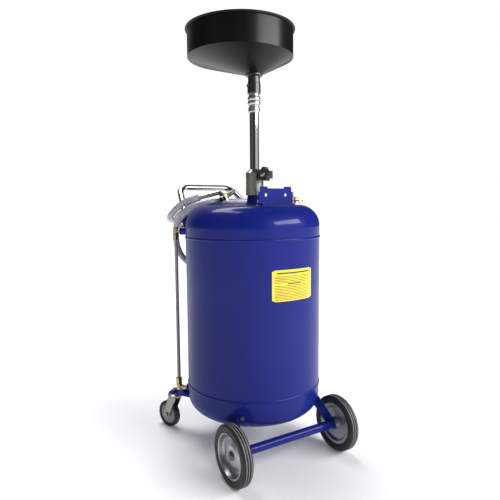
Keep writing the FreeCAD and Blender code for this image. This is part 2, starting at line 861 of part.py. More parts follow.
def outlet():
    """The elbow behind the tank that the hose plugs onto, and the tube inside that feeds it."""
    spot = at("0", "0", "outlet_height")
    corner = spot + BACK * dim("outlet_reach")
    nipple = rod("outlet_nipple_rod", "outlet_nipple", "50", spot + BACK * dim("outlet_root"), aim(BACK))
    knee = rod("outlet_knee_rod", "outlet_knee", "2 * outlet_knee", corner - UP * dim("outlet_knee"))
    barb = rod("outlet_barb_rod", "hose_rad", "outlet_barb", corner, aim(RIGHT * -1))
    keep("outlet_elbow", cut("outlet_trim", fuse("outlet_solid", nipple, knee, barb), form))
    drop = rod("dip_drop", "dip_rad", "outlet_height - dip_low", at("0", "dip_y", "dip_low"))
    turn = rod("dip_turn", "dip_rad", "outlet_root - dip_y", at("0", "dip_y", "outlet_height"), aim(BACK))
    keep("dip_tube", fuse("dip", drop, turn))


def hose_tail():
    radii = arc_radii(TAIL_ROUTE)
    print("hose bends:", [round(r) for r in radii])
    path = bent_path(TAIL_ROUTE, radii)
    tail = keep("hose_tail", swept("tail", path, dim("hose_rad")))
    share = tail.Shape.Volume / (math.pi * dim("hose_rad") ** 2 * path.Length)
    print("hose tail: %.0f mm, volume off by %.2f%%" % (path.Length, 100 * (share - 1)))


def coil_loop(name, half, front, back):
    """A flat loop with half-round ends, as high as the room the turns lie in."""
    radius = "((%s) - (%s)) / 2" % (back, front)
    run = "(%s) - %s" % (half, radius)
    middle = "((%s) + (%s)) / 2" % (back, front)
    outline = [
        ("-(%s)" % run, front),
        (run, front, radius, 1),
        (half, middle, radius, 1),
        (run, back),
        ("-(%s)" % run, back, radius, 1),
        ("-(%s)" % half, middle, radius, 1),
    ]
    return plate(name, outline, "coil_room", at("0", "0", "coil_room_low"))


def hose_coil(*rooms):
    """The turns fan out from the dome's shoulder down behind the handle's legs: a wedge-shaped ring."""
    outer = coil_loop("coil_outer", "coil_half", "coil_front", "coil_back")
    inner = coil_loop("coil_inner", "coil_inner_half", "coil_front_inner", "coil_back_inner")
    wedge_outline = [
        ("coil_front - 5", "coil_low"),
        ("coil_back + 5", "coil_low - coil_low_slope * (coil_back - coil_front)"),
        ("coil_back + 5", "coil_top - coil_top_slope * (coil_back - coil_front)"),
        ("coil_front - 5", "coil_top"),
    ]
    across = Rotation(BACK, UP, RIGHT, "ZXY")
    wedge = plate("coil_wedge", wedge_outline, "2 * coil_half + 20", at("-coil_half - 10"), across)
    common = doc.addObject("Part::MultiCommon", "coil_ring")
    common.Shapes = [cut("coil_hole", outer, inner), wedge]
    keep("hose_coil", cut("coil", common, form, *rooms))


SLEEVE_FOOT = Vector(-143.6, 185, 740)
SLEEVE_HEAD = Vector(-104, 143, 758)
SPOUT_END = Vector(-49, 118, 773)
SPOUT_BEND = 30.0
SPOUT_SEAT = 20.0
SPOUT_PAST = 4.0
COCK_FOOT = Vector(-56, 92, 751)
COCK_HEAD = Vector(0, 111, 777)
SLEEVE_RIBS = 8


def hose_sleeve():
    ribs = [("sleeve_bore", "0"), ("sleeve_rad", "0")]
    for i in range(SLEEVE_RIBS):
        low = "2.5 + %d * sleeve_pitch" % i
        ribs += [
            ("sleeve_rad", low),
            ("sleeve_rad + sleeve_rib", low + " + 1"),
            ("sleeve_rad + sleeve_rib", low + " + 3.5"),
            ("sleeve_rad", low + " + 4.5"),
        ]
    ribs += [("sleeve_rad", "sleeve_long"), ("sleeve_bore", "sleeve_long")]
    keep("hose_sleeve", turned("ribbed", ribs, at() + SLEEVE_FOOT, aim(SLEEVE_HEAD - SLEEVE_FOOT)))


def outlet_tube():
    """The bent pipe from the sleeve to the discharge valve, and the room it takes in the coil."""
    heading = (SLEEVE_HEAD - SLEEVE_FOOT).normalize()
    route = [SLEEVE_FOOT + heading * SPOUT_SEAT, SLEEVE_HEAD + heading * SPOUT_PAST, SPOUT_END]
    path = bent_path(route, [SPOUT_BEND])
    pipe = keep("outlet_tube", swept("spout", path, dim("spout_rad")))
    return pipe, swept("spout_space", path, dim("spout_rad") + 0.8)


def discharge_valve(pipe):
    along = (COCK_HEAD - COCK_FOOT).normalize()
    long = "%g" % (COCK_HEAD - COCK_FOOT).Length
    profile = [
        ("0", "0"),
        ("8", "0"),
        ("8", "10"),
        ("9.5", "12"),
        ("9.5", "30"),
        ("7.5", "32"),
        ("7.5", long),
        ("0", long),
    ]
    body = turned("cock", profile, at() + COCK_FOOT, aim(along))
    arm_to = COCK_FOOT + along * 21
    arm = rod("cock_arm", "spout_rad", "18", at() + SPOUT_END, aim(arm_to - SPOUT_END))
    front = BACK * -1
    front = (front - along * front.dot(along)).normalize()
    pivot = at() + COCK_FOOT + along * 12
    hole = rod("cock_hole", "2 + running_gap", "12", pivot + front * 3, aim(front))
    keep("discharge_valve", cut("cock_bored", fuse("cock_solid", body, arm), hole, pipe))
    stem = rod("lever_stem", "2", "12", pivot + front * 3.5, aim(front))
    side = front.cross(along)
    corner = pivot + front * 11 - along * 5 - side * 10
    wing = block("lever_wing", "10", "20", "3", corner, Rotation(along, side, front, "ZXY"))
    keep("discharge_lever", fuse("lever", stem, wing))


# ---------------------------------------------------------------- front axle and wheels


def axle():
    place = at("-beam_half", "axle_y", "axle_height")
    beam = tube("beam", "beam_rad", "axle_rad", "2 * beam_half", place, aim(RIGHT))
    keep("axle_beam", beam)
    reach = "wheel_mid + wheel_half - 2"
    place = at("-(%s)" % reach, "axle_y", "axle_height")
    keep("axle_rod", rod("axle", "axle_rad", "2 * (%s)" % reach, place, aim(RIGHT)))
    caps = []
    for side in (-1, 1):
        inner_x = side * dim("wheel_mid + wheel_half - 8.5")
        outward = aim(RIGHT * side)
        spot = at("0", "axle_y", "axle_height") + RIGHT * inner_x
        washer = rod("axle_washer%d" % side, "13", "1.5", spot, outward)
        nut = hexagon("axle_hex%d" % side, "22", "6.5", spot + RIGHT * side * 1.5, outward)
        tip = rod("axle_tip%d" % side, "5", "1.5", spot + RIGHT * side * 8, outward)
        hole = rod("axle_seat%d" % side, "axle_rad", "6.5", spot, outward)
        caps.append(cut("axle_cap%d" % side, fuse("axle_nut%d" % side, washer, nut, tip), hole))
    keep("axle_nuts", group("axle_ends", *caps))
    for name, side in (("left", -1), ("right", 1)):
        foot = at("0", "axle_y") + RIGHT * side * dim("strut_x")
        inward = (Vector(side * 132, -128 + dim("tank_y"), 0) - foot).normalize()
        flat = Rotation(inward, UP, inward.cross(UP), "ZXY")
        outline = [
            ("-13", "axle_height - 12"),
            ("4", "axle_height - 12"),
            ("52", "128"),
            ("92", "132"),
            ("92", "178"),
            ("60", "174"),
            ("44", "162"),
            ("-13", "axle_height + 9"),
        ]
        normal = inward.cross(UP)
        start = foot - normal * dim("strut_thick") / 2
        web = plate("strut_web_" + name, outline, "strut_thick", start, flat)
        outward = aim(RIGHT * side)
        beam_end = at("-beam_half", "axle_y", "axle_height")
        beam_space = rod("strut_seat_" + name, "beam_rad", "2 * beam_half", beam_end, aim(RIGHT))
        middle = at("0", "axle_y", "axle_height")
        rod_from = middle + RIGHT * side * dim("beam_half - 20")
        rod_space = rod("strut_rod_" + name, "axle_rad + 0.3", "40", rod_from, outward)
        hub_from = middle + RIGHT * side * dim("wheel_mid - wheel_half - 1.25")
        hub_space = rod("strut_hub_" + name, "hub_room", "20", hub_from, outward)
        keep("strut_" + name, cut("strut_trim_" + name, web, form, beam_space, rod_space, hub_space))


def wheel(name, side):
    """A pressed disc wheel with a ribbed solid tyre; the dished face is on the outside."""
    place = at("0", "axle_y", "axle_height") + RIGHT * side * dim("wheel_mid")
    outward = aim(RIGHT * side)
    tyre = [
        ("tyre_bore", "-11"),
        ("64", "1 - wheel_half"),
        ("68", "-wheel_half"),
        ("75", "-wheel_half", "9", 1),
        ("wheel_rad", "-9"),
    ]
    for middle in (-5.4, -1.8, 1.8, 5.4):
        tyre += [
            ("wheel_rad", "%g" % (middle - 0.8)),
            ("wheel_rad - 2", "%g" % (middle - 0.5)),
            ("wheel_rad - 2", "%g" % (middle + 0.5)),
            ("wheel_rad", "%g" % (middle + 0.8)),
        ]
    tyre += [
        ("wheel_rad", "9", "9", 1),
        ("75", "wheel_half"),
        ("68", "wheel_half"),
        ("64", "wheel_half - 1"),
        ("tyre_bore", "11"),
    ]
    keep("tyre_" + name, turned("rubber_" + name, tyre, place, outward))
    bore = "axle_rad + running_gap"
    rim = [
        (bore, "-15"),
        ("15", "-15"),
        ("19", "-5"),
        ("46", "-5"),
        ("52", "-11"),
        ("tyre_bore", "-11"),
        ("tyre_bore", "11"),
        ("tyre_bore + 1", "13.5"),
        ("tyre_bore - 1", "14.5"),
        ("tyre_bore - 3.5", "13"),
        ("53", "3"),
        ("49", "-1.5"),
        ("40", "-1.5"),
        ("27", "5"),
        ("20", "6.4"),
        (bore, "6.4"),
    ]
    keep("rim_" + name, turned("disc_" + name, rim, place, outward))


# ---------------------------------------------------------------- casters


def caster(name, side):
    centre = at("0", "caster_y") + RIGHT * side * dim("caster_x")
    axis = at()
    inward = Vector(axis.x - centre.x, axis.y - centre.y, 0).normalize()
    flat = Rotation(inward, UP.cross(inward), UP, "ZXY")
    outline = [("-15", "-17"), ("30", "-22"), ("95", "-34"), ("95", "34"), ("30", "22"), ("-15", "17")]
    low = dim("caster_plate_low")
    base = plate(
        "bracket_plate_" + name,
        outline,
        "caster_plate",
        centre + UP * low,
        flat,
        [("0", "0", "king_pin + running_gap")],
    )
    upright = Rotation(inward, UP, inward.cross(UP), "ZXY")
    web = [("28", "0"), ("95", "0"), ("95", "48"), ("66", "44")]
    web_from = centre + UP * (low + dim("caster_plate")) - inward.cross(UP) * dim("caster_plate") / 2
    gusset = plate("bracket_web_" + name, web, "caster_plate", web_from, upright)
    solid = fuse("bracket_solid_" + name, base, gusset)
    keep("caster_bracket_" + name, cut("bracket_trim_" + name, solid, form))

    top, wheel_high = low - 0.3, dim("caster_rad")
    race = [
        ("0", "%g" % (top - 14)),
        ("20", "%g" % (top - 14)),
        ("24", "%g" % (top - 10)),
        ("24", "%g" % (top - 5)),
        ("20", "%g" % (top - 3)),
        ("20", "%g" % top),
        ("king_pin", "%g" % top),
        ("king_pin", "caster_plate_low + caster_plate + 9"),
        ("0", "caster_plate_low + caster_plate + 9"),
    ]
    swivel = turned("race_" + name, race, centre)
    cap_at = low + dim("caster_plate") + 0.3
    cap = hexagon("king_hex_" + name, "18", "6", centre + UP * cap_at)
    heading = Rotation(UP, dim("caster_turn_" + name))
    ahead, across = heading.multVec(BACK), heading.multVec(RIGHT)
    trail = dim("caster_trail")
    half = dim("caster_half") + 1.5
    legs = []
    for leg_side in (-1, 1):
        outline = [
            ("-16", "%g" % (top - 12)),
            ("%g" % (trail - 9), "%g" % (wheel_high - 9)),
            ("%g" % (trail + 9), "%g" % (wheel_high - 9)),
            ("%g" % (trail + 11), "%g" % wheel_high),
            ("18", "%g" % (top - 12)),
        ]
        offset = half if leg_side > 0 else -half - dim("fork_plate")
        along = Rotation(ahead, UP, ahead.cross(UP), "ZXY")
        leg_name = "fork_leg_%s%d" % (name, leg_side)
        legs.append(plate(leg_name, outline, "fork_plate", centre + across * offset, along))
    corner = centre - across * dim("caster_half + 4") - ahead * 16 + UP * (top - 14.5)
    crown = block("fork_crown_" + name, "2 * caster_half + 8", "34", "3", corner, heading)
    wheel_at = centre + ahead * trail + UP * wheel_high
    holes = rod("fork_hole_" + name, "caster_axle", "60", wheel_at - across * 30, aim(across))
    fork = fuse("fork_solid_" + name, swivel, cap, crown, *legs)
    keep("caster_fork_" + name, cut("fork_" + name, fork, holes))
    shank_from = wheel_at - across * (half + 3.5)
    bolt = rod("bolt_shank_" + name, "caster_axle", "2 * caster_half + 12", shank_from, aim(across))
    head = hexagon("bolt_head_" + name, "13", "4", wheel_at + across * (half + 2.5), aim(across))
    nut = hexagon("bolt_nut_" + name, "13", "4", wheel_at - across * (half + 6.5), aim(across))
    keep("caster_bolt_" + name, fuse("bolt_" + name, bolt, head, nut))
    core = [
        ("caster_axle + running_gap", "-caster_half"),
        ("9", "-caster_half"),
        ("11", "3 - caster_half"),
        ("caster_core", "4 - caster_half"),
        ("caster_core", "caster_half - 4"),
        ("11", "caster_half - 3"),
        ("9", "caster_half"),
        ("caster_axle + running_gap", "caster_half"),
    ]
    keep("caster_core_" + name, turned("hub_" + name, core, wheel_at, aim(across)))
    tread = [
        ("caster_core", "4 - caster_half"),
        ("caster_rad - 6", "0.5 - caster_half"),
        ("caster_rad", "4 - caster_half"),
        ("caster_rad", "caster_half - 4"),
        ("caster_rad - 6", "caster_half - 0.5"),
        ("caster_core", "caster_half - 4"),
    ]
    keep("caster_tyre_" + name, turned("tread_" + name, tread, wheel_at, aim(across)))


form = tank_form("tank_outside")
tank()
mast_base()
clamp()
mast()
bowl()
accessory_plate()
air_fittings()
sight_gauge()
outlet()
hose_tail()
spout, spout_room = outlet_tube()
discharge_valve(spout)
hose_sleeve()
hose_coil(spout_room, *handle())
axle()
for side_name, side_sign in (("left", -1), ("right", 1)):
    wheel(side_name, side_sign)
    caster(side_name, side_sign)

doc.recompute()
for made in doc.Objects:
    if "Invalid" in made.State or "Error" in made.State:
        raise RuntimeError("%s failed: %s" % (made.Name, made.State))
for label, made in nodes.items():
    if made.Shape.isNull() or not made.Shape.isValid():
        raise RuntimeError("%s has no valid shape" % label)
os.makedirs("parts", exist_ok=True)
for label, made in nodes.items():
    made.Shape.exportStep("parts/%s.step" % label)
print(len(nodes), "nodes written")
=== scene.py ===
"""Mobile waste-oil drainer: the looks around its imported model. Metres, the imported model's frame."""

import json
import math

import bmesh
import bpy
from mathutils import Matrix, Vector


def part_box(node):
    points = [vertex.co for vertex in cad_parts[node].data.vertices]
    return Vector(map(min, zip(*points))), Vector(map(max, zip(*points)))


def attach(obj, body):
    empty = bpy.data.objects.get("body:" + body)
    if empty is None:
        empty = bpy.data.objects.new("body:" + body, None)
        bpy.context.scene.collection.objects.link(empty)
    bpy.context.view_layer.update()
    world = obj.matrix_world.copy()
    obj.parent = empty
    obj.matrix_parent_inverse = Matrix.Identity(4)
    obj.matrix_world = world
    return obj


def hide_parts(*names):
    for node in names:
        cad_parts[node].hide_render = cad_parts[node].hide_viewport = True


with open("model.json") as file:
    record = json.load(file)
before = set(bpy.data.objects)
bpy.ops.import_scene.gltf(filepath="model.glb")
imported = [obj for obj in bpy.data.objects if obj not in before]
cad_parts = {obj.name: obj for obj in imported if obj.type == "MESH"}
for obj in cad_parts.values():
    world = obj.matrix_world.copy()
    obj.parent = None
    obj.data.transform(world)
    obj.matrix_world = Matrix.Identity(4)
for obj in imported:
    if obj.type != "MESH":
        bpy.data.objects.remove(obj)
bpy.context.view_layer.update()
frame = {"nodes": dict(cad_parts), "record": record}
scene = bpy.context.scene
scene.view_settings.view_transform = "Standard"

MM = 0.001
# The tank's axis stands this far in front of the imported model's origin.
TANK_Y = -0.0275
SHELL_LOW, SHELL_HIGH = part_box("tank_shell")
TANK_RAD = (SHELL_HIGH[0] - SHELL_LOW[0]) / 2


def at(x, y, z):
    """A place measured in millimetres from the tank's axis on the floor."""
    return Vector((x * MM, y * MM + TANK_Y, z * MM))


# ---------------------------------------------------------------- camera


# Solved from the tank's rings and the wheels in the photograph. Angles in degrees, and the place
# in millimetres from the tank's axis on the floor.
CAMERA_AZIMUTH = -32.0
CAMERA_PITCH = 5.51
CAMERA_ROLL = -0.45
CAMERA_PLACE = (-789.7, -1249.0, 741.2)
LENS_MM = 35.35
SENSOR_MM = 36.0


def make_camera():
    azimuth = math.radians(CAMERA_AZIMUTH)
    pitch = math.radians(CAMERA_PITCH)
    right = Vector((math.cos(azimuth), math.sin(azimuth), 0))
    ahead = Vector((-math.sin(azimuth), math.cos(azimuth), 0))
    forward = ahead * math.cos(pitch) - Vector((0, 0, math.sin(pitch)))
    up = right.cross(forward)
    turn = Matrix((right, up, -forward)).transposed().to_4x4()
    data = bpy.data.cameras.new("camera")
    data.sensor_width = SENSOR_MM
    data.lens = LENS_MM
    camera = bpy.data.objects.new("camera", data)
    scene.collection.objects.link(camera)
    roll = Matrix.Rotation(math.radians(CAMERA_ROLL), 4, "Z")
    camera.matrix_world = Matrix.Translation(at(*CAMERA_PLACE)) @ turn @ roll
    scene.camera = camera


make_camera()

# ---------------------------------------------------------------- node helpers


def fill_ramp(node, stops):
    """Sets a colour ramp's stops, from (position, (r, g, b)) pairs."""
    bar = node.color_ramp.elements
    while len(bar) < len(stops):
        bar.new(0.5)
    for element, (spot, colour) in zip(bar, stops):
        element.position = spot
        element.color = (*colour, 1.0)


class Nodes:
    """Builds one material's node tree with short calls."""

    def __init__(self, name):
        self.material = bpy.data.materials.new(name)
        self.material.use_nodes = True
        self.tree = self.material.node_tree
        self.shader = self.tree.nodes["Principled BSDF"]
        self.coords = self.tree.nodes.new("ShaderNodeTexCoord").outputs["Object"]

    def set(self, **values):
        """Constants straight on the shader's sockets."""
        for name, value in values.items():
            self.shader.inputs[name.replace("_", " ")].default_value = value
        return self

    def feed(self, socket, value):
        """Links a socket to another node's output, or sets its constant."""
        if isinstance(value, bpy.types.NodeSocket):
            self.tree.links.new(value, socket)
        else:
            socket.default_value = value

    def node(self, kind, **inputs):
        made = self.tree.nodes.new(kind)
        for name, value in inputs.items():
            self.feed(made.inputs[name.replace("_", " ")], value)
        return made

    def maths(self, kind, a, b=0.0):
        made = self.tree.nodes.new("ShaderNodeMath")
        made.operation = kind
        self.feed(made.inputs[0], a)
        self.feed(made.inputs[1], b)
        return made.outputs[0]

    def stretch(self, scale):
        return self.node("ShaderNodeMapping", Vector=self.coords, Scale=scale).outputs[0]

    def noise(self, scale, detail=3.0, rough=0.5, vector=None):
        vector = self.coords if vector is None else vector
        made = self.node(
            "ShaderNodeTexNoise", Vector=vector, Scale=scale, Detail=detail, Roughness=rough
        )
        return made.outputs[0]

    def cells(self, scale):
        made = self.node("ShaderNodeTexVoronoi", Vector=self.coords, Scale=scale)
        return made.outputs["Distance"]

    def ramp(self, factor, stops):
        """Colours along a factor, from (position, (r, g, b)) pairs."""
        made = self.tree.nodes.new("ShaderNodeValToRGB")
        self.tree.links.new(factor, made.inputs[0])
        fill_ramp(made, stops)
        return made.outputs[0]

    def grey(self, factor, low, high, start=0.0, end=1.0):
        """Maps a factor from start..end to low..high."""
        made = self.tree.nodes.new("ShaderNodeMapRange")
        self.tree.links.new(factor, made.inputs["Value"])
        ends = {"From Min": start, "From Max": end, "To Min": low, "To Max": high}
        for name, value in ends.items():
            made.inputs[name].default_value = value
        return made.outputs[0]

    def mix(self, factor, a, b):
        """Colour a where the factor is 0 and b where it is 1."""
        made = self.tree.nodes.new("ShaderNodeMix")
        made.data_type = "RGBA"
        self.feed(made.inputs[0], factor)
        for socket, colour in ((made.inputs[6], a), (made.inputs[7], b)):
            self.feed(socket, (*colour, 1.0) if isinstance(colour, tuple) else colour)
        return made.outputs[2]

    def edges(self, width=0.0015):
        """About 0 on flats and 1 on sharp edges; the paints are painted lighter there."""
        bevel = self.tree.nodes.new("ShaderNodeBevel")
        bevel.samples = 4
        bevel.inputs["Radius"].default_value = width
        normal = self.tree.nodes.new("ShaderNodeNewGeometry").outputs["Normal"]
        dot = self.tree.nodes.new("ShaderNodeVectorMath")
        dot.operation = "DOT_PRODUCT"
        self.tree.links.new(bevel.outputs[0], dot.inputs[0])
        self.tree.links.new(normal, dot.inputs[1])
        return self.grey(dot.outputs["Value"], 1.0, 0.0, 0.80, 0.985)

    def colour(self, socket):
        self.tree.links.new(socket, self.shader.inputs["Base Color"])
        return self

    def rough(self, socket):
        self.tree.links.new(socket, self.shader.inputs["Roughness"])
        return self

    def bump(self, height, strength=0.1, distance=0.001):
        made = self.node("ShaderNodeBump", Height=height, Strength=strength, Distance=distance)
        self.tree.links.new(made.outputs[0], self.shader.inputs["Normal"])
        return self


# ---------------------------------------------------------------- materials


def tank_paint():
    m = Nodes("tank_paint").set(Metallic=0.0, Coat_Weight=0.3, Coat_Roughness=0.10)
    m.set(Specular_IOR_Level=0.05)
    cloud = m.noise(3.0, 2.0)
    base = m.ramp(cloud, [(0.3, (0.006, 0.012, 0.160)), (0.7, (0.0075, 0.015, 0.185))])
    # Painted highlight: the tank's sharp edges are painted a lighter blue.
    m.colour(m.mix(m.grey(m.edges(0.002), 0.0, 0.3), base, (0.025, 0.045, 0.34)))
    m.rough(m.grey(m.noise(40.0), 0.34, 0.42))
    return m.bump(m.noise(260.0, 2.0), 0.05, 0.0004).material


def chrome():
    m = Nodes("chrome").set(Metallic=1.0)
    fine = m.noise(90.0, 4.0, 0.6, m.stretch((1.0, 1.0, 0.05)))
    m.colour(m.ramp(fine, [(0.3, (0.40, 0.40, 0.41)), (0.7, (0.48, 0.48, 0.49))]))
    m.rough(m.grey(fine, 0.04, 0.10))
    drawn = m.noise(400.0, 2.0, 0.5, m.stretch((1.0, 1.0, 0.02)))
    return m.bump(drawn, 0.02, 0.0002).material


def zinc():
    m = Nodes("zinc").set(Metallic=1.0)
    spangle = m.cells(120.0)
    m.colour(m.ramp(spangle, [(0.0, (0.27, 0.27, 0.245)), (0.9, (0.34, 0.34, 0.31))]))
    m.rough(m.grey(m.noise(60.0), 0.24, 0.36))
    return m.bump(m.noise(300.0, 3.0, 0.6, m.stretch((1.0, 1.0, 0.1))), 0.06, 0.0003).material


def nickel():
    m = Nodes("nickel").set(Metallic=1.0)
    m.colour(m.ramp(m.noise(50.0), [(0.3, (0.45, 0.44, 0.42)), (0.7, (0.56, 0.55, 0.52))]))
    m.rough(m.grey(m.noise(130.0), 0.28, 0.38))
    return m.bump(m.noise(300.0), 0.03, 0.0003).material


def black_paint():
    m = Nodes("black_paint").set(Coat_Weight=0.3, Coat_Roughness=0.2)
    # Sharp edges are painted a lighter grey.
    m.colour(m.mix(m.grey(m.edges(0.0012), 0.0, 0.5), (0.010, 0.010, 0.011), (0.07, 0.07, 0.075)))
    m.rough(m.grey(m.noise(90.0), 0.32, 0.45))
    return m.bump(m.noise(500.0, 2.0), 0.06, 0.0003).material


def bowl_paint():
    m = Nodes("bowl_paint").set(Specular_IOR_Level=0.16)
    m.colour(m.ramp(m.noise(6.0), [(0.3, (0.004, 0.004, 0.0038)), (0.7, (0.007, 0.007, 0.0066))]))
    m.rough(m.grey(m.noise(60.0), 0.22, 0.30))
    return m.bump(m.noise(650.0, 2.0), 0.12, 0.0004).material


def black_plastic():
    m = Nodes("black_plastic")
    m.colour(m.ramp(m.noise(30.0), [(0.3, (0.014, 0.014, 0.013)), (0.7, (0.024, 0.024, 0.022))]))
    m.rough(m.grey(m.noise(120.0), 0.42, 0.58))
    return m.bump(m.cells(900.0), 0.15, 0.0003).material


def brass():
    m = Nodes("brass").set(Metallic=1.0)
    tarnish = m.noise(70.0, 4.0)
    m.colour(m.ramp(tarnish, [(0.3, (0.32, 0.25, 0.13)), (0.7, (0.55, 0.45, 0.27))]))
    m.rough(m.grey(tarnish, 0.22, 0.38))
    return m.bump(m.noise(400.0), 0.05, 0.0003).material


def bronze():
    m = Nodes("bronze").set(Metallic=1.0)
    dark = m.noise(55.0, 4.0)
    m.colour(m.ramp(dark, [(0.3, (0.07, 0.065, 0.035)), (0.7, (0.19, 0.18, 0.12))]))
    m.rough(m.grey(dark, 0.25, 0.42))
    return m.bump(m.noise(350.0), 0.08, 0.0003).material


def cast_zinc():
    m = Nodes("cast_zinc").set(Metallic=1.0)
    m.colour(m.ramp(m.noise(80.0), [(0.3, (0.58, 0.58, 0.55)), (0.7, (0.75, 0.75, 0.72))]))
    m.rough(m.grey(m.noise(200.0), 0.28, 0.4))
    return m.bump(m.noise(500.0), 0.1, 0.0003).material


def gauge_plastic():
    m = Nodes("gauge_plastic").set(Metallic=0.0, Coat_Weight=0.6, Coat_Roughness=0.05)
    streak = m.noise(25.0, 3.0, 0.5, m.stretch((1.0, 1.0, 0.1)))
    m.colour(m.ramp(streak, [(0.3, (0.20, 0.205, 0.19)), (0.7, (0.29, 0.295, 0.275))]))
    m.rough(m.grey(streak, 0.12, 0.22))
    return m.bump(m.noise(200.0), 0.02, 0.0002).material


def hose_plastic():
    m = Nodes("hose_plastic").set(Coat_Weight=0.5, Coat_Roughness=0.12)
    m.set(Transmission_Weight=0.15, IOR=1.45)
    m.set(Subsurface_Weight=0.2, Subsurface_Radius=(0.006, 0.006, 0.008), Subsurface_Scale=1.0)
    haze = m.noise(18.0, 3.0)
    m.colour(m.ramp(haze, [(0.3, (0.36, 0.345, 0.43)), (0.7, (0.48, 0.465, 0.56))]))
    m.rough(m.grey(m.noise(60.0), 0.22, 0.36))
    return m.bump(m.noise(120.0), 0.05, 0.0004).material


WHEEL_MIDDLE = sum(corner[0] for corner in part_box("tyre_right")) / 2
# Painted highlights on the middle ribs of a front tyre: from rib to rib, and how far from the middle
# they fade out.
RIB_HIGHLIGHT_PITCH = 0.0072
RIB_HIGHLIGHT_FADE, RIB_HIGHLIGHT_END = 0.0088, 0.0096


def painted_rib_highlights(m):
    """About 1 along the painted highlights on the front tyres' middle ribs and 0 elsewhere."""
    geometry = m.tree.nodes.new("ShaderNodeNewGeometry")
    split = m.node("ShaderNodeSeparateXYZ", Vector=geometry.outputs["Position"])
    across = m.maths("SUBTRACT", m.maths("ABSOLUTE", split.outputs["X"]), WHEEL_MIDDLE)
    wave = m.maths("COSINE", m.maths("MULTIPLY", across, 2 * math.pi / RIB_HIGHLIGHT_PITCH))
    band = m.grey(m.maths("ABSOLUTE", across), 1.0, 0.0, RIB_HIGHLIGHT_FADE, RIB_HIGHLIGHT_END)
    front = m.maths("MULTIPLY", band, m.maths("LESS_THAN", split.outputs["Y"], 0.0))
    return m.maths("MULTIPLY", m.grey(wave, 0.0, 1.0, 0.2, 0.7), front)


def tyre_rubber():
    m = Nodes("tyre_rubber")
    dust = m.noise(25.0, 4.0)
    rubber = m.ramp(dust, [(0.35, (0.008, 0.008, 0.008)), (0.75, (0.020, 0.020, 0.019))])
    # Painted highlight: the front tyres' middle ribs are painted a light grey.
    m.colour(m.mix(painted_rib_highlights(m), rubber, (0.22, 0.22, 0.21)))
    m.rough(m.grey(m.noise(80.0), 0.45, 0.62))
    return m.bump(m.noise(700.0, 3.0), 0.15, 0.0004).material


def rim_paint():
    m = Nodes("rim_paint").set(Metallic=1.0)
    m.colour(m.ramp(m.noise(14.0), [(0.3, (0.34, 0.35, 0.37)), (0.7, (0.44, 0.45, 0.47))]))
    m.rough(m.grey(m.noise(90.0), 0.32, 0.42))
    return m.bump(m.noise(600.0), 0.05, 0.0003).material


def caster_nylon():
    m = Nodes("caster_nylon")
    m.colour(m.ramp(m.noise(30.0), [(0.3, (0.20, 0.21, 0.22)), (0.7, (0.30, 0.31, 0.32))]))
    m.rough(m.grey(m.noise(100.0), 0.35, 0.5))
    return m.bump(m.noise(400.0), 0.08, 0.0003).material


FINISHES = {
    "tank_paint": tank_paint(),
    "chrome": chrome(),
    "zinc_steel": zinc(),
    "nickel": nickel(),
    "black_valve": black_paint(),
    "black_bowl": bowl_paint(),
    "black_plastic": black_plastic(),
    "brass": brass(),
    "bronze_valve": bronze(),
    "lever_zinc": cast_zinc(),
    "gauge_tube": gauge_plastic(),
    "hose_pvc": hose_plastic(),
    "tyre_rubber": tyre_rubber(),
    "rim_steel": rim_paint(),
    "caster_hub": caster_nylon(),
}


def dress(obj, finish):
    obj.data.materials.clear()
    obj.data.materials.append(FINISHES[finish])
    return obj


def finish_nodes():
    """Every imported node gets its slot's finish, in the material slots of its object."""
    slots = {part["node"]: part["material_slot"] for part in frame["record"]["subparts"]}
    for name, obj in frame["nodes"].items():
        for place in obj.material_slots:
            place.link = "OBJECT"
            place.material = FINISHES[slots[name]]


finish_nodes()

# ---------------------------------------------------------------- hose

HOSE = 0.020


def nurbs(name, points, radius):
    """A round cord with closed ends along a smooth curve."""
    data = bpy.data.curves.new(name, "CURVE")
    data.dimensions = "3D"
    data.bevel_depth = radius
    data.bevel_resolution = 6
    data.resolution_u = 8
    data.use_fill_caps = True
    spline = data.splines.new("NURBS")
    spline.points.add(len(points) - 1)
    for spot, point in zip(spline.points, points):
        spot.co = (*point, 1.0)
    spline.order_u = 3
    spline.use_endpoint_u = True
    obj = bpy.data.objects.new(name, data)
    scene.collection.objects.link(obj)
    return obj


# The free tail, from the outlet elbow behind the tank up to the left of the handle's left leg.
TAIL = [(-30, 228, 525), (-62, 229, 526), (-100, 231, 539), (-132, 232, 570)]
TAIL += [(-146, 231, 603), (-151, 224, 630), (-156, 212, 652)]

# Heights of the hose's centre line, one for each step of a bend. It lies on the dome and hangs
# behind the tank.
FIRST_UP = [672, 690, 706, 719, 730, 738]
FIRST_DOWN = [738, 730, 719, 706, 694, 682]
FIRST_BEHIND = [671, 663, 657, 652, 648, 646, 645]
FIRST_BACK_UP = [650, 653, 657, 662, 668, 675, 684]
SECOND_UP = [697, 711, 724, 735, 742, 745]
SECOND_DOWN = [745, 742, 736, 726, 717, 709]
SECOND_BEHIND = [702, 696, 690, 685, 681, 679, 678]
LAST_UP = [681, 683, 685, 689, 696, 708, 724, 740]
ON_DOME = 745


# Where the turns cross behind the tank, and where the hose enters its ribbed sleeve.
BACK_Y = 302
SLEEVE_MOUTH = (-142.6, 184, 740.6)


def bend(centre, reach, start, sweep, heights):
    """An evenly stepped bend: centre and half-axes in plan, angles, one height for each step."""
    points = []
    for i, height in enumerate(heights):
        turn = math.radians(start + sweep * i / (len(heights) - 1))
        x = centre[0] + reach[0] * math.cos(turn)
        y = centre[1] + reach[1] * math.sin(turn)
        points.append((x, y, height))
    return points


def run(half, y, low, high):
    """A straight stretch across the tank, rightwards where half is above 0."""
    return [(share * half, y, low + (high - low) * (share + 1) / 2) for share in (-1, 0, 1)]


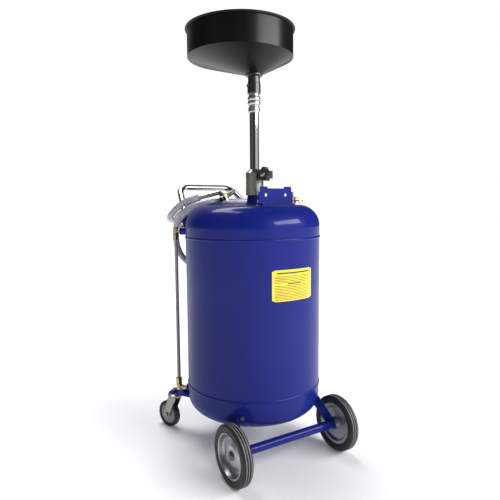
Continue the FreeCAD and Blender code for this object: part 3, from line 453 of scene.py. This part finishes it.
def turns():
    """Two turns round the handle's legs: up left, over the dome, down right and back behind."""
    points = bend((-104, 196), (56, 58), 180, 90, FIRST_UP)
    points += run(60, 138, ON_DOME, ON_DOME)
    points += bend((104, 196), (56, 58), 270, 90, FIRST_DOWN)
    points += bend((50, 200), (108, 102), 8, 82, FIRST_BEHIND)
    points += run(-25, BACK_Y, 646, 648)
    points += bend((-45, 200), (108, 102), 90, 80, FIRST_BACK_UP)
    points += bend((-69, 202), (85, 84), 180, 90, SECOND_UP)
    points += run(35, 118, ON_DOME, ON_DOME)
    points += bend((69, 202), (85, 84), 270, 90, SECOND_DOWN)
    points += bend((56, 202), (97, 100), 12, 78, SECOND_BEHIND)
    return points + run(-25, BACK_Y, 678, 679)


def last_bend():
    """From the back run round and up into the ribbed sleeve."""
    return bend((-92.4, 232.7), (70, 70), 90, 133, LAST_UP) + [SLEEVE_MOUTH]


def make_hose():
    route = TAIL + turns() + last_bend()
    hose = dress(nurbs("hose", [at(*point) for point in route], HOSE / 2), "hose_pvc")
    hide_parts("hose_tail", "hose_coil")
    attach(hose, "frame")


make_hose()

# ---------------------------------------------------------------- label


# The film's place on the tank, in metres and in degrees round the tank.
LABEL_TURN = -88.0
LABEL_ARC = 0.137
LABEL_LOW, LABEL_HIGH = 0.477, 0.562
LABEL_CORNER = 0.004
FILM_LIFT, INK_LIFT = 0.0004, 0.0006
# How many flat strips follow the tank's curve.
PATCH_COLUMNS = 14

# Rows of bars below the head bar, and the row that holds the short thick title.
BARS = 16
TITLE_BAR = 5
# Shares of the film's width, counted from its middle.
BAR_LEFT, BAR_RIGHT, BAR_SHORTER = -0.44, 0.44, 0.09
HEAD_REACH, TITLE_REACH = 0.40, 0.16
# Metres: a bar's thickness, the step from row to row, and depths below the film's top.
BAR_THICK, BAR_STEP = 0.0014, 0.0042
FIRST_BAR, HEAD_LOW, HEAD_HIGH = 0.0185, 0.011, 0.007


def label_colour(name, low, high):
    m = Nodes(name).set(Coat_Weight=0.5, Coat_Roughness=0.12)
    m.colour(m.ramp(m.noise(40.0), [(0.3, low), (0.7, high)]))
    m.rough(m.grey(m.noise(90.0), 0.32, 0.42))
    return m.bump(m.noise(150.0), 0.05, 0.0002).material


def patch(name, turn, arc, low, high, lift, material, corner=0.0):
    """A thin film on the shell: arc is its width, corner rounds its ends, turn is in radians."""
    mesh = bpy.data.meshes.new(name)
    build = bmesh.new()
    radius = TANK_RAD + lift
    rails = []
    for i in range(PATCH_COLUMNS + 1):
        across = arc * i / PATCH_COLUMNS - arc / 2
        inset = max(0.0, abs(across) - (arc / 2 - corner))
        drop = corner - math.sqrt(max(0.0, corner * corner - inset * inset))
        angle = turn + across / TANK_RAD
        x = radius * math.cos(angle)
        y = radius * math.sin(angle) + TANK_Y
        rails.append([build.verts.new((x, y, z)) for z in (low + drop, high - drop)])
    for before, after in zip(rails, rails[1:]):
        build.faces.new((before[0], after[0], after[1], before[1]))
    build.to_mesh(mesh)
    build.free()
    mesh.materials.append(material)
    obj = bpy.data.objects.new(name, mesh)
    scene.collection.objects.link(obj)
    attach(obj, "frame")


def make_label():
    """A yellow film with dark bars, without any lettering."""
    yellow = label_colour("label_yellow", (0.80, 0.62, 0.01), (0.90, 0.72, 0.02))
    ink = label_colour("label_ink", (0.03, 0.028, 0.01), (0.05, 0.045, 0.02))
    turn = math.radians(LABEL_TURN)
    patch("label_film", turn, LABEL_ARC, LABEL_LOW, LABEL_HIGH, FILM_LIFT, yellow, LABEL_CORNER)

    def bar(name, left, right, low, high):
        middle = turn + (left + right) / 2 * LABEL_ARC / TANK_RAD
        patch(name, middle, (right - left) * LABEL_ARC, low, high, INK_LIFT, ink)

    bar("label_head", -HEAD_REACH, HEAD_REACH, LABEL_HIGH - HEAD_LOW, LABEL_HIGH - HEAD_HIGH)
    for i in range(BARS):
        low = LABEL_HIGH - FIRST_BAR - i * BAR_STEP
        if i == TITLE_BAR:
            bar("label_title", -TITLE_REACH, TITLE_REACH, low, low + 2 * BAR_THICK)
            continue
        right = BAR_RIGHT - BAR_SHORTER * ((i * 7) % 5) / 4
        bar("label_bar_%02d" % i, BAR_LEFT, right, low, low + BAR_THICK)


make_label()

# ---------------------------------------------------------------- weld beads


# Mesh steps round a bead and round its wire, and the ripples that the welder's hand leaves.
AROUND, SECTION = 96, 8
RIPPLES, RIPPLE_DEPTH = 24, 0.10
# The sight gauge's direction from the tank's axis in degrees, and its bosses' heights in mm.
GAUGE_TURN = 140.0
GAUGE_LOW, GAUGE_HIGH = 163, 657
SOCKET_FOOT, OUTLET_FOOT = (0, -14, 737.6), (0, 200, 525)


def bead(name, centre, axis, ring_radius, wire):
    """A painted fillet weld round a boss: a ring of overlapping ripples."""
    slot = "tank_paint"
    mesh = bpy.data.meshes.new(name)
    build = bmesh.new()
    axis = Vector(axis).normalized()
    side = axis.orthogonal().normalized()
    other = axis.cross(side)
    loops = []
    for i in range(AROUND):
        a = 2 * math.pi * i / AROUND
        out = side * math.cos(a) + other * math.sin(a)
        ripple = wire * (1.0 + RIPPLE_DEPTH * math.sin(RIPPLES * a))
        loop = []
        for j in range(SECTION):
            b = 2 * math.pi * j / SECTION
            spot = centre + out * (ring_radius + ripple * math.cos(b)) + axis * ripple * math.sin(b)
            loop.append(build.verts.new(spot))
        loops.append(loop)
    for i in range(AROUND):
        here, there = loops[i], loops[(i + 1) % AROUND]
        for j in range(SECTION):
            k = (j + 1) % SECTION
            build.faces.new((here[j], here[k], there[k], there[j]))
    bmesh.ops.recalc_face_normals(build, faces=build.faces)
    for face in build.faces:
        face.smooth = True
    build.to_mesh(mesh)
    build.free()
    obj = bpy.data.objects.new(name, mesh)
    scene.collection.objects.link(obj)
    dress(obj, slot)
    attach(obj, "frame")


def weld_beads():
    """Round the sight gauge's two bosses, the mast's socket and the hose outlet."""
    gauge = math.radians(GAUGE_TURN)
    outward = Vector((math.cos(gauge), math.sin(gauge), 0))
    low = at(0, 0, GAUGE_LOW) + outward * 0.1992
    high = at(0, 0, GAUGE_HIGH) + outward * 0.1985
    bead("weld_sight_low", low, outward, ring_radius=0.011, wire=0.0022)
    bead("weld_sight_high", high, outward, ring_radius=0.0135, wire=0.0022)
    bead("weld_mast_socket", at(*SOCKET_FOOT), (0, 0.02, 1), ring_radius=0.0285, wire=0.0026)
    bead("weld_outlet", at(*OUTLET_FOOT), (0, 1, 0), ring_radius=0.0105, wire=0.0020)


weld_beads()

# ---------------------------------------------------------------- floor and light

FLOOR_REACH = 14.0
# The floor's own glow grows between these distances from its middle, up to plain white.
GLOW_START, GLOW_END = 0.4, 2.8
GLOW_LOW, GLOW_HIGH = 0.12, 1.0

# Direction in degrees and brightness of the walls that the bright metal mirrors.
WALLS = [(-180, 0.22), (-166, 0.22), (-152, 0.06), (-106, 0.05), (-92, 0.95), (-30, 0.95)]
WALLS += [(-16, 0.04), (40, 0.03), (52, 0.30), (92, 0.30), (124, 0.03), (158, 0.05), (180, 0.22)]
WALL_BLUE = 1.03
CEILING = (0.14, 0.145, 0.17, 1.0)
CEILING_START, CEILING_END = 0.35, 0.9

# The lights: watts, azimuth in degrees, and sizes, distances and places in metres.
KEY_WATTS, KEY_SIZE, KEY_COLOUR = 84, (2.4, 0.8), (1.0, 0.985, 0.97)
KEY_AZIMUTH, KEY_DISTANCE, KEY_HEIGHT, KEY_TARGET = -60, 2.6, 1.80, (0, TANK_Y, 1.2)
TOP_WATTS, TOP_SIZE, TOP_COLOUR = 75, (1.6, 1.6), (1, 1, 1)
TOP_PLACE, TOP_TARGET = (0.0, 0.9, 3.0), (0, TANK_Y, 0.7)


def floor():
    """White paper that glows away from the object, so that no horizon shows."""
    mesh = bpy.data.meshes.new("floor")
    corners = [(-1, -1), (1, -1), (1, 1), (-1, 1)]
    spots = [(x * FLOOR_REACH, y * FLOOR_REACH, 0) for x, y in corners]
    mesh.from_pydata(spots, [], [(0, 1, 2, 3)])
    obj = bpy.data.objects.new("floor", mesh)
    scene.collection.objects.link(obj)
    m = Nodes("floor_paper")
    m.colour(m.ramp(m.noise(1.5), [(0.0, (0.86, 0.86, 0.87)), (1.0, (0.91, 0.91, 0.915))]))
    m.set(Roughness=0.55, Emission_Color=(1, 1, 1, 1))
    far = m.node("ShaderNodeVectorMath", Vector=m.coords)
    far.operation = "LENGTH"
    glow = m.grey(far.outputs["Value"], GLOW_LOW, GLOW_HIGH, GLOW_START, GLOW_END)
    m.tree.links.new(glow, m.shader.inputs["Emission Strength"])
    mesh.materials.append(m.material)


def area_light(name, place, target, size, watts, colour):
    data = bpy.data.lights.new(name, "AREA")
    data.shape = "RECTANGLE"
    data.size, data.size_y = size
    data.energy = watts
    data.color = colour
    obj = bpy.data.objects.new(name, data)
    scene.collection.objects.link(obj)
    place, target = Vector(place), Vector(target)
    obj.location = place
    obj.rotation_euler = (target - place).to_track_quat("-Z", "Y").to_euler()


def round_place(azimuth, distance, height):
    turn = math.radians(azimuth)
    return Vector((distance * math.cos(turn), distance * math.sin(turn), height))


def studio_world():
    """Bright and grey walls with dark bays between them; the camera itself sees plain white."""
    world = bpy.data.worlds.new("studio")
    scene.world = world
    world.use_nodes = True
    tree = world.node_tree
    wall = tree.nodes["Background"]
    wall.inputs["Strength"].default_value = 1.0
    split = tree.nodes.new("ShaderNodeSeparateXYZ")
    tree.links.new(tree.nodes.new("ShaderNodeTexCoord").outputs["Generated"], split.inputs[0])
    turn = tree.nodes.new("ShaderNodeMath")
    turn.operation = "ARCTAN2"
    tree.links.new(split.outputs["Y"], turn.inputs[0])
    tree.links.new(split.outputs["X"], turn.inputs[1])
    share = tree.nodes.new("ShaderNodeMapRange")
    tree.links.new(turn.outputs[0], share.inputs["Value"])
    share.inputs["From Min"].default_value = -math.pi
    share.inputs["From Max"].default_value = math.pi
    walls = tree.nodes.new("ShaderNodeValToRGB")
    tree.links.new(share.outputs[0], walls.inputs[0])
    stops = [((angle + 180) / 360, (grey, grey, grey * WALL_BLUE)) for angle, grey in WALLS]
    fill_ramp(walls, stops)
    sky = tree.nodes.new("ShaderNodeMapRange")
    tree.links.new(split.outputs["Z"], sky.inputs["Value"])
    sky.inputs["From Min"].default_value = CEILING_START
    sky.inputs["From Max"].default_value = CEILING_END
    mix = tree.nodes.new("ShaderNodeMix")
    mix.data_type = "RGBA"
    tree.links.new(sky.outputs[0], mix.inputs[0])
    tree.links.new(walls.outputs[0], mix.inputs[6])
    mix.inputs[7].default_value = CEILING
    tree.links.new(mix.outputs[2], wall.inputs["Color"])
    paper = tree.nodes.new("ShaderNodeBackground")
    paper.inputs["Color"].default_value = (1, 1, 1, 1)
    path = tree.nodes.new("ShaderNodeLightPath")
    pick = tree.nodes.new("ShaderNodeMixShader")
    tree.links.new(path.outputs["Is Camera Ray"], pick.inputs[0])
    tree.links.new(wall.outputs[0], pick.inputs[1])
    tree.links.new(paper.outputs[0], pick.inputs[2])
    tree.links.new(pick.outputs[0], tree.nodes["World Output"].inputs["Surface"])


def light():
    studio_world()
    key_place = round_place(KEY_AZIMUTH, KEY_DISTANCE, KEY_HEIGHT)
    area_light("key", key_place, KEY_TARGET, KEY_SIZE, KEY_WATTS, KEY_COLOUR)
    area_light("top", TOP_PLACE, TOP_TARGET, TOP_SIZE, TOP_WATTS, TOP_COLOUR)


floor()
light()
